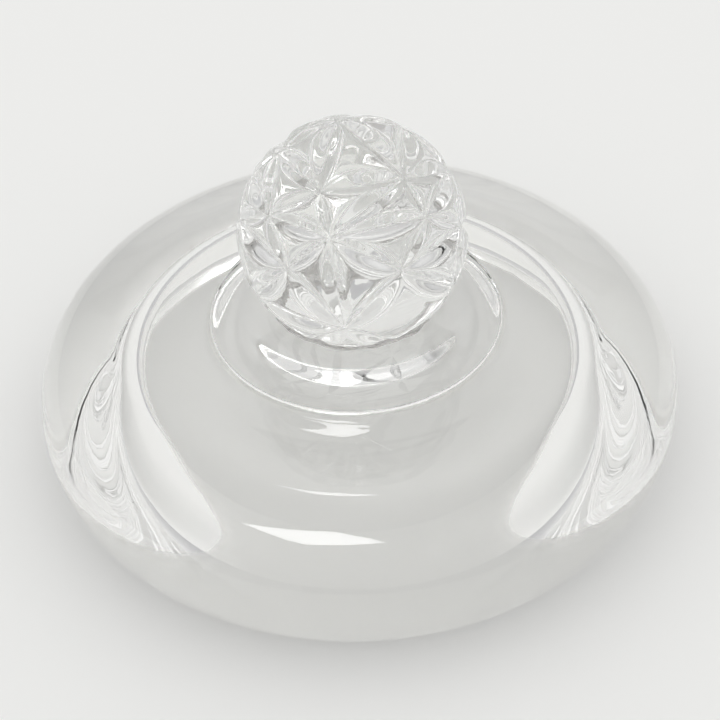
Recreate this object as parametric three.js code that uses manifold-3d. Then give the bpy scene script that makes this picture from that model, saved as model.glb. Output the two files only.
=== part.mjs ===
// A clear glass table piece: a thick round base that is hollow underneath, a low collar bonded
// on its crown, and a star-cut glass ball bonded on the collar.
// Millimetres, +Z up. The origin is on the table, under the ball, on the axis of revolution.
import * as THREE from "three";
import { mergeVertices } from "three/addons/utils/BufferGeometryUtils.js";
import Module from "manifold-3d";

const wasm = await Module();
wasm.setup();

// ---------------------------------------------------------------- driving dimensions
const OUTER_RADIUS = 59; // widest radius of the base
const RIM_HEIGHT = 24.5; // table to the flat crown of the base
const CROWN_RADIUS = 44; // where the flat crown starts to roll down into the rim
const WIDEST_HEIGHT = 11; // height at which the rim is widest
const FOOT_OUTER_RADIUS = 52; // the rim rolls in to this radius at the table
const FOOT_INNER_RADIUS = 47; // inner edge of the flat foot ring

const HOLLOW_RADIUS = 38; // where the hollow's wall starts to leave its ceiling
const HOLLOW_HEIGHT = 15; // table to the ceiling at the wall
const HOLLOW_CENTRE_HEIGHT = 17.2; // table to the ceiling on the axis
const WALL_PULL_LOW = 2; // how far the hollow's wall runs flat from the foot
const WALL_PULL_HIGH = 7; // how far it runs flat into the ceiling
const STEP_INNER_RADIUS = 21; // a soft step in the ceiling, higher in the middle
const STEP_OUTER_RADIUS = 30;
const STEP_TOP = 17; // table to the ceiling just inside the step
const STEP_PULL = 4; // how far the step runs flat at each end

const JOINT_GAP = 0.3; // clear space kept between neighbouring pieces
const BOND_THICKNESS = 0.4; // each cured adhesive film
const LOWER_BOND_RADIUS = 23;
const UPPER_BOND_RADIUS = 12.5;

const COLLAR_RADIUS = 26.3;
const COLLAR_HEIGHT = 2.5;
const COLLAR_SIDE = 0.5; // upright part of the collar's side
const COLLAR_NECK_RADIUS = 14.3; // flat top of the collar, under the ball
const COLLAR_PULL = 7; // how far the collar's slope runs flat at each end

const BALL_RADIUS = 20;
const BALL_CENTRE_HEIGHT = 42.5;
const BALL_DETAIL = 7; // subdivisions of the ball before it is cut

const STAR_ROWS = 5; // rows of six-pointed stars below the one on top
const STARS_PER_ROW = 6;
const STAR_ROW_STEP = 27; // degrees of latitude from one row to the next
const STAR_TURN = -13; // degrees that the whole pattern is turned about the axis
const CUT_SLOPE = 1.25; // half-width of a mitre cut over its depth
const WHEEL_RADIUS = 60; // cutting wheel
const WHEEL_EDGE = 3; // depth of the wheel's V edge

const TURN_STEPS = 72; // flat sides around each turned piece
const CURVE_STEPS = 8; // steps along each curve of an outline
const WHEEL_STEPS = 40; // flat sides around the cutting wheel

// Heights of the stack, from the crown up
const LOWER_BOND_BASE = RIM_HEIGHT + JOINT_GAP;
const COLLAR_BASE = LOWER_BOND_BASE + BOND_THICKNESS + JOINT_GAP;
const COLLAR_TOP = COLLAR_BASE + COLLAR_HEIGHT;
const UPPER_BOND_BASE = COLLAR_TOP + JOINT_GAP;
const BALL_FLAT = UPPER_BOND_BASE + BOND_THICKNESS + JOINT_GAP;

// ---------------------------------------------------------------- materials
const clearGlass = new THREE.MeshStandardMaterial({
  color: 0xe4e7e3,
  roughness: 0.04,
  metalness: 0,
  transparent: true,
  opacity: 0.35,
});
const cutGlass = new THREE.MeshStandardMaterial({
  color: 0xe8eaec,
  roughness: 0.02,
  metalness: 0,
  transparent: true,
  opacity: 0.4,
});
const clearBond = new THREE.MeshStandardMaterial({
  color: 0xf1efe6,
  roughness: 0.15,
  metalness: 0,
  transparent: true,
  opacity: 0.3,
});

// ---------------------------------------------------------------- helpers
const radians = (degrees) => (degrees * Math.PI) / 180;
const point = (radius, height) => new THREE.Vector2(radius, height);

// Points of an ellipse's arc about (radius, height), with angles from +radius towards +height.
function arc(radius, height, halfWidth, halfHeight, from, to, steps = CURVE_STEPS) {
  return Array.from({ length: steps + 1 }, (_, i) => {
    const angle = radians(from + ((to - from) * i) / steps);
    return point(radius + halfWidth * Math.cos(angle), height + halfHeight * Math.sin(angle));
  });
}

// Points of a smooth S from one point to another, level at both ends.
function levelCurve(start, end, startPull, endPull, steps = CURVE_STEPS) {
  const towards = Math.sign(end.x - start.x);
  return new THREE.CubicBezierCurve(
    start,
    point(start.x + towards * startPull, start.y),
    point(end.x - towards * endPull, end.y),
    end,
  ).getPoints(steps);
}

// A closed outline turned about +Z. The outline runs counter-clockwise, from the axis back to it.
function turned(outline) {
  const clean = outline.filter((p, i) => i === 0 || p.distanceTo(outline[i - 1]) > 1e-3);
  return new THREE.LatheGeometry(clean, TURN_STEPS).rotateX(Math.PI / 2);
}

function solidOf(geometry) {
  const bare = geometry.clone();
  bare.deleteAttribute("normal");
  bare.deleteAttribute("uv");
  const merged = mergeVertices(bare, 1e-4);
  return new wasm.Manifold(
    new wasm.Mesh({
      numProp: 3,
      vertProperties: merged.attributes.position.array,
      triVerts: new Uint32Array(merged.index.array),
    }),
  );
}

function geometryOf(solid) {
  const mesh = solid.getMesh();
  const geometry = new THREE.BufferGeometry();
  geometry.setAttribute("position", new THREE.BufferAttribute(mesh.vertProperties, 3));
  geometry.setIndex(new THREE.BufferAttribute(mesh.triVerts, 1));
  return geometry;
}

function part(name, geometry, material) {
  const mesh = new THREE.Mesh(geometry, material);
  mesh.name = name;
  return mesh;
}

// ---------------------------------------------------------------- base
// Flat crown, rolled rim, flat foot ring, and a hollow underneath with a smooth S-shaped wall
// and a soft round step in its ceiling.
function base() {
  const ceilingStep = levelCurve(
    point(STEP_INNER_RADIUS, STEP_TOP),
    point(STEP_OUTER_RADIUS, HOLLOW_HEIGHT),
    STEP_PULL,
    STEP_PULL,
  );
  const hollowWall = levelCurve(
    point(HOLLOW_RADIUS, HOLLOW_HEIGHT),
    point(FOOT_INNER_RADIUS, 0),
    WALL_PULL_HIGH,
    WALL_PULL_LOW,
  );
  const rimBelow = arc(
    FOOT_OUTER_RADIUS,
    WIDEST_HEIGHT,
    OUTER_RADIUS - FOOT_OUTER_RADIUS,
    WIDEST_HEIGHT,
    -90,
    0,
  );
  const rimAbove = arc(
    CROWN_RADIUS,
    WIDEST_HEIGHT,
    OUTER_RADIUS - CROWN_RADIUS,
    RIM_HEIGHT - WIDEST_HEIGHT,
    0,
    90,
    2 * CURVE_STEPS,
  );
  return turned([
    point(0, HOLLOW_CENTRE_HEIGHT),
    ...ceilingStep,
    ...hollowWall,
    ...rimBelow,
    ...rimAbove,
    point(0, RIM_HEIGHT),
  ]);
}

// ---------------------------------------------------------------- bonds
// A thin round film of cured adhesive.
function bondFilm(radius, bottom) {
  return turned([
    point(0, bottom),
    point(radius, bottom),
    point(radius, bottom + BOND_THICKNESS),
    point(0, bottom + BOND_THICKNESS),
  ]);
}

// ---------------------------------------------------------------- collar
// A low button of glass with a short upright side, a smooth S-shaped slope and a flat top.
function collar() {
  const slope = levelCurve(
    point(COLLAR_RADIUS, COLLAR_BASE + COLLAR_SIDE),
    point(COLLAR_NECK_RADIUS, COLLAR_TOP),
    COLLAR_PULL,
    COLLAR_PULL,
  );
  return turned([
    point(0, COLLAR_BASE),
    point(COLLAR_RADIUS, COLLAR_BASE),
    ...slope,
    point(0, COLLAR_TOP),
  ]);
}

// ---------------------------------------------------------------- ball
// The direction from the ball's centre at a latitude and longitude in degrees.
function direction(latitude, longitude) {
  return new THREE.Vector3().setFromSphericalCoords(
    1,
    radians(90 - latitude),
    radians(longitude),
  ).applyAxisAngle(new THREE.Vector3(1, 0, 0), Math.PI / 2);
}

// Rows of stars, each row turned half a step from the one above, with one star on top.
function starRows() {
  const step = 360 / STARS_PER_ROW;
  return Array.from({ length: STAR_ROWS }, (_, row) =>
    Array.from({ length: STARS_PER_ROW }, (_, i) =>
      direction(90 - (row + 1) * STAR_ROW_STEP, STAR_TURN + (i + (row % 2) / 2) * step),
    ),
  );
}

// Every mitre cut as the pair of stars it joins.
function starLinks() {
  const rows = starRows();
  const top = direction(90, 0);
  const links = rows[0].map((star) => [top, star]);
  for (let row = 1; row < rows.length; row++) {
    rows[row].forEach((star, i) => {
      const towardsNext = row % 2 ? 1 : -1;
      const neighbour = (i + towardsNext + STARS_PER_ROW) % STARS_PER_ROW;
      links.push([rows[row - 1][i], star], [rows[row - 1][neighbour], star]);
    });
  }
  return links;
}

// The V-edged wheel that cuts a groove from one star to the next, in place.
function wheelCut([from, to]) {
  const halfLength = (BALL_RADIUS * from.angleTo(to)) / 2;
  const depth = (halfLength ** 2 / 2) * (1 / BALL_RADIUS + 1 / WHEEL_RADIUS);
  const middle = from.clone().add(to).normalize();
  const along = to.clone().sub(from).normalize();
  const across = new THREE.Vector3().crossVectors(middle, along);
  const edge = WHEEL_EDGE * CUT_SLOPE;
  const wheel = new THREE.LatheGeometry(
    [point(0, -edge), point(WHEEL_RADIUS - WHEEL_EDGE, -edge), point(WHEEL_RADIUS, 0),
      point(WHEEL_RADIUS - WHEEL_EDGE, edge), point(0, edge)],
    WHEEL_STEPS,
  );
  const place = new THREE.Matrix4().makeBasis(along, across, middle);
  wheel.rotateY(Math.PI / WHEEL_STEPS);
  wheel.applyMatrix4(place);
  wheel.translate(...middle.multiplyScalar(BALL_RADIUS + WHEEL_RADIUS - depth).toArray());
  return solidOf(wheel);
}

// A ball with star cuts all over and a ground flat underneath.
function cutBall() {
  let ball = solidOf(new THREE.IcosahedronGeometry(BALL_RADIUS, BALL_DETAIL));
  for (const link of starLinks()) ball = ball.subtract(wheelCut(link));
  const blockSide = 4 * BALL_RADIUS;
  const groundAway = new THREE.BoxGeometry(blockSide, blockSide, blockSide);
  groundAway.translate(0, 0, BALL_FLAT - BALL_CENTRE_HEIGHT - blockSide / 2);
  return geometryOf(ball.subtract(solidOf(groundAway))).translate(0, 0, BALL_CENTRE_HEIGHT);
}

export default new THREE.Group().add(
  part("base", base(), clearGlass),
  part("lower_bond", bondFilm(LOWER_BOND_RADIUS, LOWER_BOND_BASE), clearBond),
  part("collar", collar(), clearGlass),
  part("upper_bond", bondFilm(UPPER_BOND_RADIUS, UPPER_BOND_BASE), clearBond),
  part("cut_ball", cutBall(), cutGlass),
);
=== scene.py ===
# Looks of the glass flower frog: a hollow round base, a low collar and a star-cut ball, all clear glass.
import math

import bmesh
import bpy
import numpy as np
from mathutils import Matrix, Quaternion, Vector


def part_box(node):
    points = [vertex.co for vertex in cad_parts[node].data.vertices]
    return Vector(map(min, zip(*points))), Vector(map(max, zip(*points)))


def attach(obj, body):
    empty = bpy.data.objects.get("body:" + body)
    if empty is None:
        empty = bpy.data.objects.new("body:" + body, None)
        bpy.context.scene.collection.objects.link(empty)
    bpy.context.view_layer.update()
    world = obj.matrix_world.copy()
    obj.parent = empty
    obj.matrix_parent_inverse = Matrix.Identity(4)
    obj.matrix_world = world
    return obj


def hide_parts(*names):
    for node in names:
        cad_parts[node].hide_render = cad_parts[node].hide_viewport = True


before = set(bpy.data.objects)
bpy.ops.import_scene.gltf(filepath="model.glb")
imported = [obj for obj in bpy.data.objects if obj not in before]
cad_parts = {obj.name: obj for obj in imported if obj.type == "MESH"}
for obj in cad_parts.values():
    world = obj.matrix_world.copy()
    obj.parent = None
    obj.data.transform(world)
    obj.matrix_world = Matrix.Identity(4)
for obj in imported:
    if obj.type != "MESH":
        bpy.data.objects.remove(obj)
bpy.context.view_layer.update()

MM = 0.001

# ---------------------------------------------------------------- places from the frame
BASE_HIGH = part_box("base")[1]
COLLAR_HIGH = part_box("collar")[1]
BALL_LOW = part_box("cut_ball")[0]

# ---------------------------------------------------------------- driving dimensions, metres
OUTER_RADIUS = BASE_HIGH[0]
RIM_HEIGHT = BASE_HIGH[2]
CROWN_RADIUS = 44 * MM  # where the flat crown starts to roll down into the rim
WIDEST_HEIGHT = 11 * MM  # where the rim is widest
FOOT_OUTER_RADIUS = 52 * MM
FOOT_INNER_RADIUS = 47 * MM
HOLLOW_RADIUS = 38 * MM
HOLLOW_HEIGHT = 15 * MM
HOLLOW_CENTRE_HEIGHT = 17.2 * MM
STEP_INNER_RADIUS = 21 * MM  # the soft step in the ceiling of the hollow
STEP_OUTER_RADIUS = 30 * MM
STEP_TOP = 17 * MM
STEP_PULL = 4 * MM  # how far each end of a curve in the ceiling runs level
WALL_PULL_LOW = 2 * MM  # the same for the hollow's wall, at the foot
WALL_PULL_HIGH = 7 * MM  # and at the ceiling

COLLAR_RADIUS = COLLAR_HIGH[0]
COLLAR_SIDE = 0.5 * MM  # height of the nearly upright part of the collar's side
COLLAR_LEAN = 0.1 * MM  # how far that part leans in at its foot
COLLAR_PULL = 7 * MM  # how far the collar's slope runs level at each end
COLLAR_DROP = 0.6 * MM  # from the CAD ball's flat down to the collar's top
COLLAR_TOP = BALL_LOW[2] - COLLAR_DROP
SEAM_RADIUS = 14.3 * MM  # the ball's ground flat
SEAM_HEIGHT = 0.5 * MM

BALL_RADIUS = 20 * MM
BALL_CENTRE = Vector((0, 0, 42.5 * MM))
BALL_FLAT = COLLAR_TOP + SEAM_HEIGHT
BALL_SUBDIVISIONS = 7

CONTACT_GAP = 0.01 * MM  # left between the crown, the collar and the bead in their corner
LOWER_BEAD_REACH = 0.9 * MM  # out over the crown
LOWER_BEAD_RISE = 0.6 * MM  # up the collar's side
UPPER_BEAD_INSET = 0.9 * MM  # from the edge of the ball's flat to the bead's inner side
UPPER_BEAD_REACH = 0.8 * MM  # out past the edge of the ball's flat
UPPER_BEAD_FILL = 0.42  # half the bead's height over the height of the seam
UPPER_BEAD_WAVE = 0.16 * MM
BEAD_WAVES = ((7, 1, 1), (13, 0, 0.7), (23, 2, 0.5))  # waves round a bead, their phase and their share

TURN_STEPS = 256
TURN_ANGLES = [2 * math.pi * k / TURN_STEPS for k in range(TURN_STEPS)]
CURVE_STEPS = 24
BEAD_STEPS = 10
SHARP_ANGLE = math.radians(38)
SAME_PLACE = 1e-6  # metres; anything closer counts as one place


# ---------------------------------------------------------------- outlines
def arc(radius, height, half_width, half_height, start, end, steps=CURVE_STEPS):
    """Points of an ellipse's arc about (radius, height), with angles from outwards towards up."""
    angles = [math.radians(start + (end - start) * i / steps) for i in range(steps + 1)]
    return [(radius + half_width * math.cos(a), height + half_height * math.sin(a)) for a in angles]


def level_curve(start, end, start_pull, end_pull, steps=CURVE_STEPS):
    """Points of a smooth S from one point to another, level at both ends."""
    towards = math.copysign(1, end[0] - start[0])
    handles = (
        start,
        (start[0] + towards * start_pull, start[1]),
        (end[0] - towards * end_pull, end[1]),
        end,
    )
    points = []
    for i in range(steps + 1):
        t = i / steps
        weights = ((1 - t) ** 3, 3 * t * (1 - t) ** 2, 3 * t * t * (1 - t), t**3)
        points.append(tuple(sum(w * p[k] for w, p in zip(weights, handles)) for k in (0, 1)))
    return points


# ---------------------------------------------------------------- mesh helpers
def new_object(name, data):
    """An object in the scene that holds a mesh or a camera."""
    made = bpy.data.objects.new(name, data)
    bpy.context.scene.collection.objects.link(made)
    return made


def closed_object(name, bm):
    """The bmesh as an object, with its faces outwards and smooth except along sharp edges."""
    bmesh.ops.recalc_face_normals(bm, faces=bm.faces)
    mesh = bpy.data.meshes.new(name)
    bm.to_mesh(mesh)
    bm.free()
    mesh.polygons.foreach_set("use_smooth", [True] * len(mesh.polygons))
    mesh.set_sharp_from_angle(angle=SHARP_ANGLE)
    return new_object(name, mesh)


def on_circle(radius, height, angle):
    return (radius * math.cos(angle), radius * math.sin(angle), height)


def turned(name, outline):
    """A closed outline turned about +Z. It runs from the axis, outwards, and back to the axis."""
    points = outline[:1]
    points += [p for before, p in zip(outline, outline[1:]) if math.dist(p, before) > SAME_PLACE]
    bm = bmesh.new()
    circles = []
    for radius, height in points:
        if radius < SAME_PLACE:
            circles.append([bm.verts.new((0, 0, height))])
            continue
        circles.append([bm.verts.new(on_circle(radius, height, angle)) for angle in TURN_ANGLES])
    for first, second in zip(circles, circles[1:]):
        for k in range(TURN_STEPS):
            corners = []
            for circle, turn in ((first, k), (first, k + 1), (second, k + 1), (second, k)):
                vertex = circle[turn % len(circle)]
                if vertex not in corners:
                    corners.append(vertex)
            bm.faces.new(corners)
    return closed_object(name, bm)


# ---------------------------------------------------------------- base
def make_base():
    """The disc, from the middle of the hollow's ceiling round under the foot and over the rim."""
    step_start = (STEP_INNER_RADIUS, STEP_TOP)
    step_end = (STEP_OUTER_RADIUS, HOLLOW_HEIGHT)
    middle = level_curve((0, HOLLOW_CENTRE_HEIGHT), step_start, STEP_PULL, STEP_PULL)
    step = level_curve(step_start, step_end, STEP_PULL, STEP_PULL)
    wall = level_curve(
        (HOLLOW_RADIUS, HOLLOW_HEIGHT), (FOOT_INNER_RADIUS, 0), WALL_PULL_HIGH, WALL_PULL_LOW
    )
    below = arc(
        FOOT_OUTER_RADIUS, WIDEST_HEIGHT, OUTER_RADIUS - FOOT_OUTER_RADIUS, WIDEST_HEIGHT, -90, 0
    )
    above = arc(
        CROWN_RADIUS, WIDEST_HEIGHT, OUTER_RADIUS - CROWN_RADIUS, RIM_HEIGHT - WIDEST_HEIGHT, 0, 90
    )
    contact = (COLLAR_RADIUS, RIM_HEIGHT)
    return turned("base_body", [*middle, *step, *wall, *below, *above, contact, (0, RIM_HEIGHT)])


# ---------------------------------------------------------------- collar
def make_collar():
    """The low button of glass under the ball."""
    bottom = RIM_HEIGHT + CONTACT_GAP
    foot = (COLLAR_RADIUS, bottom + COLLAR_SIDE)
    shoulder = level_curve((SEAM_RADIUS, COLLAR_TOP), foot, COLLAR_PULL, COLLAR_PULL)
    contact_low = (COLLAR_RADIUS - COLLAR_LEAN, bottom)
    return turned("collar_body", [(0, bottom), contact_low, *reversed(shoulder), (0, COLLAR_TOP)])


# ---------------------------------------------------------------- bonds
def ring(name, section, wave=0.0):
    """A closed section turned about +Z. With a wave, its radius wanders as a bead of adhesive does."""
    bm = bmesh.new()
    loops = []
    for angle in TURN_ANGLES:
        swell = wave * sum(share * math.sin(count * angle + phase) for count, phase, share in BEAD_WAVES)
        loops.append([bm.verts.new(on_circle(radius + swell, height, angle)) for radius, height in section])
    for k in range(TURN_STEPS):
        near = loops[k]
        far = loops[(k + 1) % TURN_STEPS]
        for i in range(len(section)):
            j = (i + 1) % len(section)
            bm.faces.new((near[i], far[i], far[j], near[j]))
    return closed_object(name, bm)


def make_lower_bond():
    """The concave bead left in the corner between the collar and the crown."""
    low = RIM_HEIGHT + CONTACT_GAP
    inner = COLLAR_RADIUS + CONTACT_GAP
    centre = (inner + LOWER_BEAD_REACH, low + LOWER_BEAD_RISE)
    bead = arc(*centre, LOWER_BEAD_REACH, LOWER_BEAD_RISE, 180, 270, BEAD_STEPS)
    return ring("lower_bond_bead", [(inner, low), *reversed(bead)])


def make_upper_bond():
    """The wandering bead squeezed out around the ball's ground flat."""
    height = BALL_FLAT - COLLAR_TOP
    inner = SEAM_RADIUS - UPPER_BEAD_INSET
    half_height = UPPER_BEAD_FILL * height
    middle = COLLAR_TOP + height / 2
    bead = arc(SEAM_RADIUS, middle, UPPER_BEAD_REACH, half_height, -90, 90, BEAD_STEPS)
    section = [(inner, bead[0][1]), *bead, (inner, bead[-1][1])]
    return ring("upper_bond_bead", section, UPPER_BEAD_WAVE)


# ---------------------------------------------------------------- ball
WHEEL_RADIUS = 60 * MM  # the cutter's wheel
CUT_SLOPE = 1.25  # half-width of a mitre cut over its depth
CUT_OVERRUN = 1.08  # length of a cut over the distance between its two stars
DEEPEST_CUT = 1.6 * MM
EDGE_SOFTNESS = 0.45 * MM  # polishing rounds the cuts' edges by about this much
VALLEY_SOFTNESS = 0.4 * EDGE_SOFTNESS  # and the bottoms of the cuts by less
FINEST_ERROR = 0.006 * MM  # an edge that misses the cut surface by more is split

# Rows of stars, listed one by one: latitude, then the longitudes round the ball, in degrees. The larger
# stars in front follow the photo's layout, and the ones behind are a guess.
STAR_ROWS = (
    (74, (-160,)),
    (54, (47, -25, 128, 208, -95)),
    (34, (-13, 46, 92, 160, 218, 262, -55)),
    (15, (23, 70, 128, 188, 240, -84, -34)),
    (-16, (-6, 60, 118, 172, 228, -62)),
    (-46, (26, 90, 150, 205, 265, -32)),
    (-90, (0,)),
)
LONGEST_CUT = 58  # degrees; stars further apart than this aren't joined


def direction(latitude, longitude):
    """From the ball's centre; longitude 0 faces -Y and grows towards +X."""
    up = math.radians(latitude)
    round_z = math.radians(longitude)
    return Vector((math.cos(up) * math.sin(round_z), -math.cos(up) * math.cos(round_z), math.sin(up)))


def star_links():
    """Neighbouring stars, which a cut joins: the edges of the hull round all of them."""
    bm = bmesh.new()
    for row, turns in STAR_ROWS:
        for turn in turns:
            bm.verts.new(direction(row, turn))
    bmesh.ops.convex_hull(bm, input=bm.verts)
    edges = [tuple(v.co.copy() for v in edge.verts) for edge in bm.edges]
    bm.free()
    return [(start, end) for start, end in edges if start.angle(end) < math.radians(LONGEST_CUT)]


def soft_ramp(value, softness):
    """max(value, 0) with a rounded corner, exactly 0 well below it."""
    rounded = 0.5 * (value + np.sqrt(value**2 + softness**2))
    floor = 0.5 * (-2 * softness + np.sqrt(5) * softness)
    return np.where(value < -2 * softness, 0, np.maximum(rounded - floor, 0))


def cut_depth(unit):
    """How deep the cuts go below the ball's surface in each direction."""
    cut = np.zeros(len(unit))
    for start, end in star_links():
        half = BALL_RADIUS * start.angle(end) / 2 * CUT_OVERRUN
        deepest = min(half**2 / 2 * (1 / BALL_RADIUS + 1 / WHEEL_RADIUS), DEEPEST_CUT)
        middle = (start + end).normalized()
        along = (end - start).normalized()
        across = middle.cross(along)
        outward = unit @ middle
        distance = np.arctan2(unit @ along, outward) * BALL_RADIUS
        offset = unit @ across * BALL_RADIUS
        side = np.sqrt(offset**2 + VALLEY_SOFTNESS**2) / CUT_SLOPE
        depth = np.where(outward > 0, deepest * (1 - (distance / half) ** 2) - side, -BALL_RADIUS)
        cut = np.maximum(cut, soft_ramp(depth, EDGE_SOFTNESS))
    return cut


def unit_vectors(coordinates):
    """Each row as a direction of length 1."""
    return coordinates / np.linalg.norm(coordinates, axis=1)[:, None]


def split_rough_edges(bm):
    """Splits the unit sphere's edges wherever a straight edge would miss the cut surface."""
    bm.verts.index_update()
    unit = unit_vectors(np.array([v.co for v in bm.verts]))
    depth = cut_depth(unit)
    first, second = np.array([[v.index for v in e.verts] for e in bm.edges]).T
    middles = cut_depth(unit_vectors(unit[first] + unit[second]))
    miss = np.abs(middles - (depth[first] + depth[second]) / 2)
    rough = [edge for edge, error in zip(list(bm.edges), miss) if error > FINEST_ERROR]
    bmesh.ops.subdivide_edges(bm, edges=rough, cuts=1)
    bmesh.ops.triangulate(bm, faces=bm.faces)


def grind_flat(bm):
    """Cuts the ball off level underneath and closes it."""
    cut = bmesh.ops.bisect_plane(
        bm,
        geom=[*bm.verts, *bm.edges, *bm.faces],
        plane_co=(0, 0, BALL_FLAT),
        plane_no=(0, 0, -1),
        clear_outer=True,
    )
    rim = [e for e in cut["geom_cut"] if isinstance(e, bmesh.types.BMEdge)]
    bmesh.ops.contextual_create(bm, geom=rim)


def make_ball():
    """A sphere sunk by the depth of its cuts, finer along them, with the ground flat underneath."""
    bm = bmesh.new()
    bmesh.ops.create_icosphere(bm, subdivisions=BALL_SUBDIVISIONS, radius=1)
    split_rough_edges(bm)
    unit = unit_vectors(np.array([v.co for v in bm.verts]))
    surface = unit * (BALL_RADIUS - cut_depth(unit))[:, None] + np.array(BALL_CENTRE)
    for vertex, place in zip(bm.verts, surface):
        vertex.co = place
    grind_flat(bm)
    return closed_object("cut_ball_body", bm)


# ---------------------------------------------------------------- materials
RING_PITCH = 2.2 * MM
WEAR_SIZE = 4 * MM
WEAR_DETAIL = 4
WEAR_START = 0.45  # noise from here
WEAR_END = 0.75  # to here takes the roughness up
WEAR_ROUGHNESS = 0.03  # by this much


def noise(tree, place, size, detail=2):
    """Soft random hills about size metres across."""
    node = tree.nodes.new("ShaderNodeTexNoise")
    node.inputs["Scale"].default_value = 1 / size
    node.inputs["Detail"].default_value = detail
    tree.links.new(place, node.inputs["Vector"])
    return node.outputs["Fac"]


def turning_marks(tree, place, pitch):
    """Faint uneven rings about +Z, as a spun piece of glass keeps."""
    flat = tree.nodes.new("ShaderNodeVectorMath")
    flat.operation = "MULTIPLY"
    flat.inputs[1].default_value = (1, 1, 0)
    tree.links.new(place, flat.inputs[0])
    radius = tree.nodes.new("ShaderNodeVectorMath")
    radius.operation = "LENGTH"
    tree.links.new(flat.outputs[0], radius.inputs[0])
    rings = tree.nodes.new("ShaderNodeTexNoise")
    rings.noise_dimensions = "1D"
    rings.inputs["Scale"].default_value = 1 / pitch
    rings.inputs["Detail"].default_value = 1
    tree.links.new(radius.outputs["Value"], rings.inputs["W"])
    return rings.outputs["Fac"]


def bump(tree, height, distance, before=None):
    """The normal of a surface with hills of height, distance metres deep, added to any before it."""
    node = tree.nodes.new("ShaderNodeBump")
    node.inputs["Distance"].default_value = distance
    tree.links.new(height, node.inputs["Height"])
    if before is not None:
        tree.links.new(before, node.inputs["Normal"])
    return node.outputs["Normal"]


def glass(name, tint, ior, wave_size, wave_height, ring_height=0.0, roughness=0.0):
    """Clear glass with slow waves in its surface, a little wear and, where it was spun, faint rings."""
    material = bpy.data.materials.new(name)
    material.use_nodes = True
    tree = material.node_tree
    shader = tree.nodes["Principled BSDF"]
    shader.inputs["Base Color"].default_value = (*tint, 1)
    shader.inputs["Transmission Weight"].default_value = 1
    shader.inputs["IOR"].default_value = ior
    place = tree.nodes.new("ShaderNodeTexCoord").outputs["Object"]
    normal = bump(tree, noise(tree, place, wave_size), wave_height)
    if ring_height:
        normal = bump(tree, turning_marks(tree, place, RING_PITCH), ring_height, normal)
    tree.links.new(normal, shader.inputs["Normal"])
    wear = tree.nodes.new("ShaderNodeMapRange")
    wear.inputs["From Min"].default_value = WEAR_START
    wear.inputs["From Max"].default_value = WEAR_END
    wear.inputs["To Min"].default_value = roughness
    wear.inputs["To Max"].default_value = roughness + WEAR_ROUGHNESS
    tree.links.new(noise(tree, place, WEAR_SIZE, WEAR_DETAIL), wear.inputs["Value"])
    tree.links.new(wear.outputs["Result"], shader.inputs["Roughness"])
    return material


def see_through(name):
    """Where two pieces are bonded face to face, light goes straight on."""
    material = bpy.data.materials.new(name)
    material.use_nodes = True
    nodes = material.node_tree.nodes
    nodes.clear()
    clear = nodes.new("ShaderNodeBsdfTransparent")
    output = nodes.new("ShaderNodeOutputMaterial")
    material.node_tree.links.new(clear.outputs[0], output.inputs[0])
    return material


def finish_faces(piece, glass_material, contacts):
    """The piece's glass, with the see-through material inside each (height, radius) in contacts."""
    mesh = piece.data
    mesh.materials.append(glass_material)
    mesh.materials.append(bonded_face)
    for polygon in mesh.polygons:
        for height, radius in contacts:
            level = all(abs(mesh.vertices[v].co.z - height) < SAME_PLACE for v in polygon.vertices)
            if level and polygon.center.xy.length < radius:
                polygon.material_index = 1


bonded_face = see_through("bonded_face")
base_glass = glass(
    "clear_glass_body",
    tint=(0.99, 0.99, 0.98),
    ior=1.52,
    wave_size=9 * MM,
    wave_height=0.02 * MM,
    ring_height=0.004 * MM,
)
ball_glass = glass(
    "cut_glass_body", tint=(0.935, 0.94, 0.93), ior=1.54, wave_size=3 * MM, wave_height=0.012 * MM
)
bead_glass = glass(
    "clear_bond_bead", tint=(0.95, 0.95, 0.94), ior=1.5, wave_size=1.2 * MM, wave_height=0.04 * MM
)
# The upper bead's dark grey tint is painted shade: it stands in for the shadow and internal reflection that
# darken the seam under the ball. Its roughness and bumps are real.
shaded_seam_glass = glass(
    "rough_bond_bead_painted_shade",
    tint=(0.62, 0.61, 0.6),
    ior=1.5,
    wave_size=1 * MM,
    wave_height=0.1 * MM,
    roughness=0.04,
)


# ---------------------------------------------------------------- build
pieces = (
    (make_base(), "base", "clear_glass", base_glass, [(RIM_HEIGHT, COLLAR_RADIUS)]),
    (make_lower_bond(), "lower_bond", "clear_bond", bead_glass, []),
    (
        make_collar(),
        "collar",
        "clear_glass",
        base_glass,
        [(RIM_HEIGHT + CONTACT_GAP, COLLAR_RADIUS), (COLLAR_TOP, SEAM_RADIUS)],
    ),
    (make_upper_bond(), "upper_bond", "clear_bond", shaded_seam_glass, []),
    (make_ball(), "cut_ball", "cut_glass", ball_glass, [(BALL_FLAT, BALL_RADIUS)]),
)
for piece, node, slot, material, contacts in pieces:
    finish_faces(piece, material, contacts)
    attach(piece, "root")
    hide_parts(node)


# ---------------------------------------------------------------- stage
FLOOR_GAP = 0.15 * MM  # the floor is this far below the foot ring; in one plane they render dark
FLOOR_REACH = 40  # metres from the middle to each side, for views from low down
FLOOR_COLOUR = (0.9, 0.9, 0.89, 1)
FLOOR_ROUGHNESS = 0.9

WALL_LIGHT = (0.5, 0.5, 0.51, 1)
OVERHEAD_LIGHT = (1.04, 1.04, 1.03, 1)
OVERHEAD_START = 0.75  # the dome has its overhead brightness above this share of its height

SOFTBOX_FRONT = math.radians(18)  # how far it leans forwards from straight overhead
SOFTBOX_LEFT = math.radians(10)
SOFTBOX_DISTANCE = 1.2
SOFTBOX_LONG = 0.34  # the half-diagonals of its diamond shape
SOFTBOX_SHORT = 0.19
SOFTBOX_SKEW = 0.02  # how far the long diagonal's ends are turned out of line
SOFTBOX_STRENGTH = 9

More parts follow.
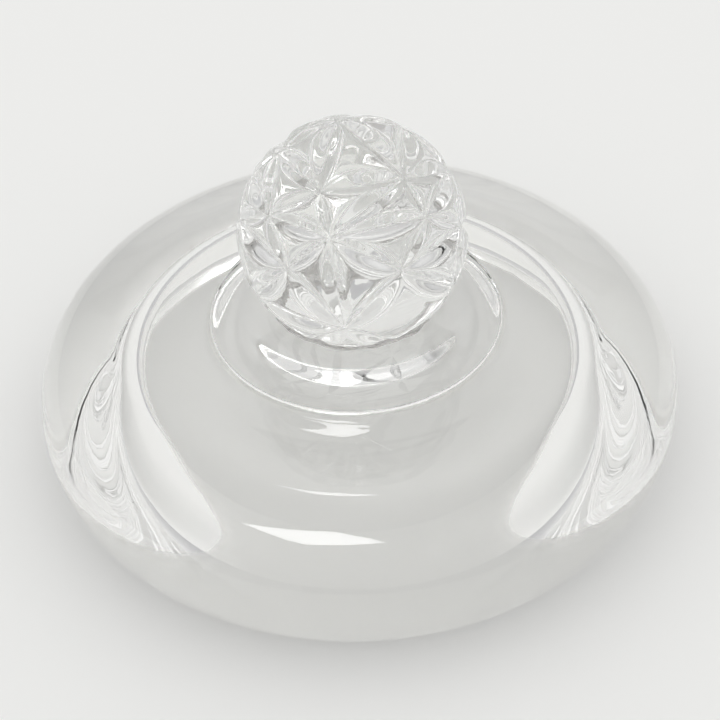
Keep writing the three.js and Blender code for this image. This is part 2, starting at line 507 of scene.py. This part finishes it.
LENS = 65  # millimetres, on a sensor SENSOR_WIDTH wide
SENSOR_WIDTH = 36
CAMERA_ELEVATION = math.radians(42.8)
CAMERA_ROLL = math.radians(-2.37)
CAMERA_DISTANCE = 4.15 * OUTER_RADIUS
CAMERA_SHIFT = 1 / 360  # of the picture's width

MOST_BOUNCES = 24
MOST_REFLECTIONS = 16


def make_floor():
    """A plain pale floor, the same all over."""
    corners = [(x * FLOOR_REACH, y * FLOOR_REACH, 0) for x, y in ((-1, -1), (1, -1), (1, 1), (-1, 1))]
    mesh = bpy.data.meshes.new("floor")
    mesh.from_pydata(corners, [], [(0, 1, 2, 3)])
    material = bpy.data.materials.new("pale_floor")
    material.use_nodes = True
    shader = material.node_tree.nodes["Principled BSDF"]
    shader.inputs["Base Color"].default_value = FLOOR_COLOUR
    shader.inputs["Roughness"].default_value = FLOOR_ROUGHNESS
    shader.inputs["Specular IOR Level"].default_value = 0
    mesh.materials.append(material)
    floor = new_object("floor", mesh)
    floor.location.z = -FLOOR_GAP


def make_sky():
    """A soft studio dome, brighter overhead than at the walls."""
    world = bpy.data.worlds.new("studio")
    bpy.context.scene.world = world
    world.use_nodes = True
    tree = world.node_tree
    background = tree.nodes["Background"]
    place = tree.nodes.new("ShaderNodeTexCoord")
    split = tree.nodes.new("ShaderNodeSeparateXYZ")
    ramp = tree.nodes.new("ShaderNodeValToRGB")
    wall, overhead = ramp.color_ramp.elements
    wall.position = 0
    wall.color = WALL_LIGHT
    overhead.position = OVERHEAD_START
    overhead.color = OVERHEAD_LIGHT
    tree.links.new(place.outputs["Generated"], split.inputs[0])
    tree.links.new(split.outputs["Z"], ramp.inputs[0])
    tree.links.new(ramp.outputs[0], background.inputs[0])


def make_softbox():
    """A diamond-shaped light above and in front, hidden from the camera and from diffuse rays. So it
    doesn't light the open floor, as a real one would, but it does light the floor under the glass."""
    up = math.cos(SOFTBOX_FRONT) * math.cos(SOFTBOX_LEFT)
    place = Vector((-math.sin(SOFTBOX_LEFT), -math.sin(SOFTBOX_FRONT), up)) * SOFTBOX_DISTANCE
    turn = place.to_track_quat("Z", "Y")
    long_end = Vector((SOFTBOX_LONG, SOFTBOX_SKEW, 0))
    short_end = Vector((0, SOFTBOX_SHORT, 0))
    corners = [place + turn @ end for end in (long_end, short_end, -long_end, -short_end)]
    mesh = bpy.data.meshes.new("softbox")
    mesh.from_pydata(corners, [], [(0, 1, 2, 3)])
    material = bpy.data.materials.new("softbox_light")
    material.use_nodes = True
    tree = material.node_tree
    tree.nodes.clear()
    output = tree.nodes.new("ShaderNodeOutputMaterial")
    glow = tree.nodes.new("ShaderNodeEmission")
    glow.inputs["Strength"].default_value = SOFTBOX_STRENGTH
    tree.links.new(glow.outputs[0], output.inputs[0])
    mesh.materials.append(material)
    box = new_object("softbox", mesh)
    box.visible_camera = False
    box.visible_diffuse = False


def make_camera():
    """The photograph's view, towards the middle of the base."""
    back = Vector((0, -math.cos(CAMERA_ELEVATION), math.sin(CAMERA_ELEVATION)))
    data = bpy.data.cameras.new("camera")
    data.sensor_width = SENSOR_WIDTH
    data.lens = LENS
    data.shift_x = CAMERA_SHIFT
    camera = new_object("camera", data)
    camera.location = Vector((0, 0, RIM_HEIGHT / 2)) + back * CAMERA_DISTANCE
    camera.rotation_mode = "QUATERNION"
    camera.rotation_quaternion = Quaternion(back, CAMERA_ROLL) @ (-back).to_track_quat("-Z", "Y")
    bpy.context.scene.camera = camera


make_floor()
make_sky()
make_softbox()
make_camera()

scene = bpy.context.scene
scene.view_settings.view_transform = "Standard"
scene.cycles.max_bounces = MOST_BOUNCES
scene.cycles.transmission_bounces = MOST_BOUNCES
scene.cycles.glossy_bounces = MOST_REFLECTIONS
scene.cycles.use_denoising = True
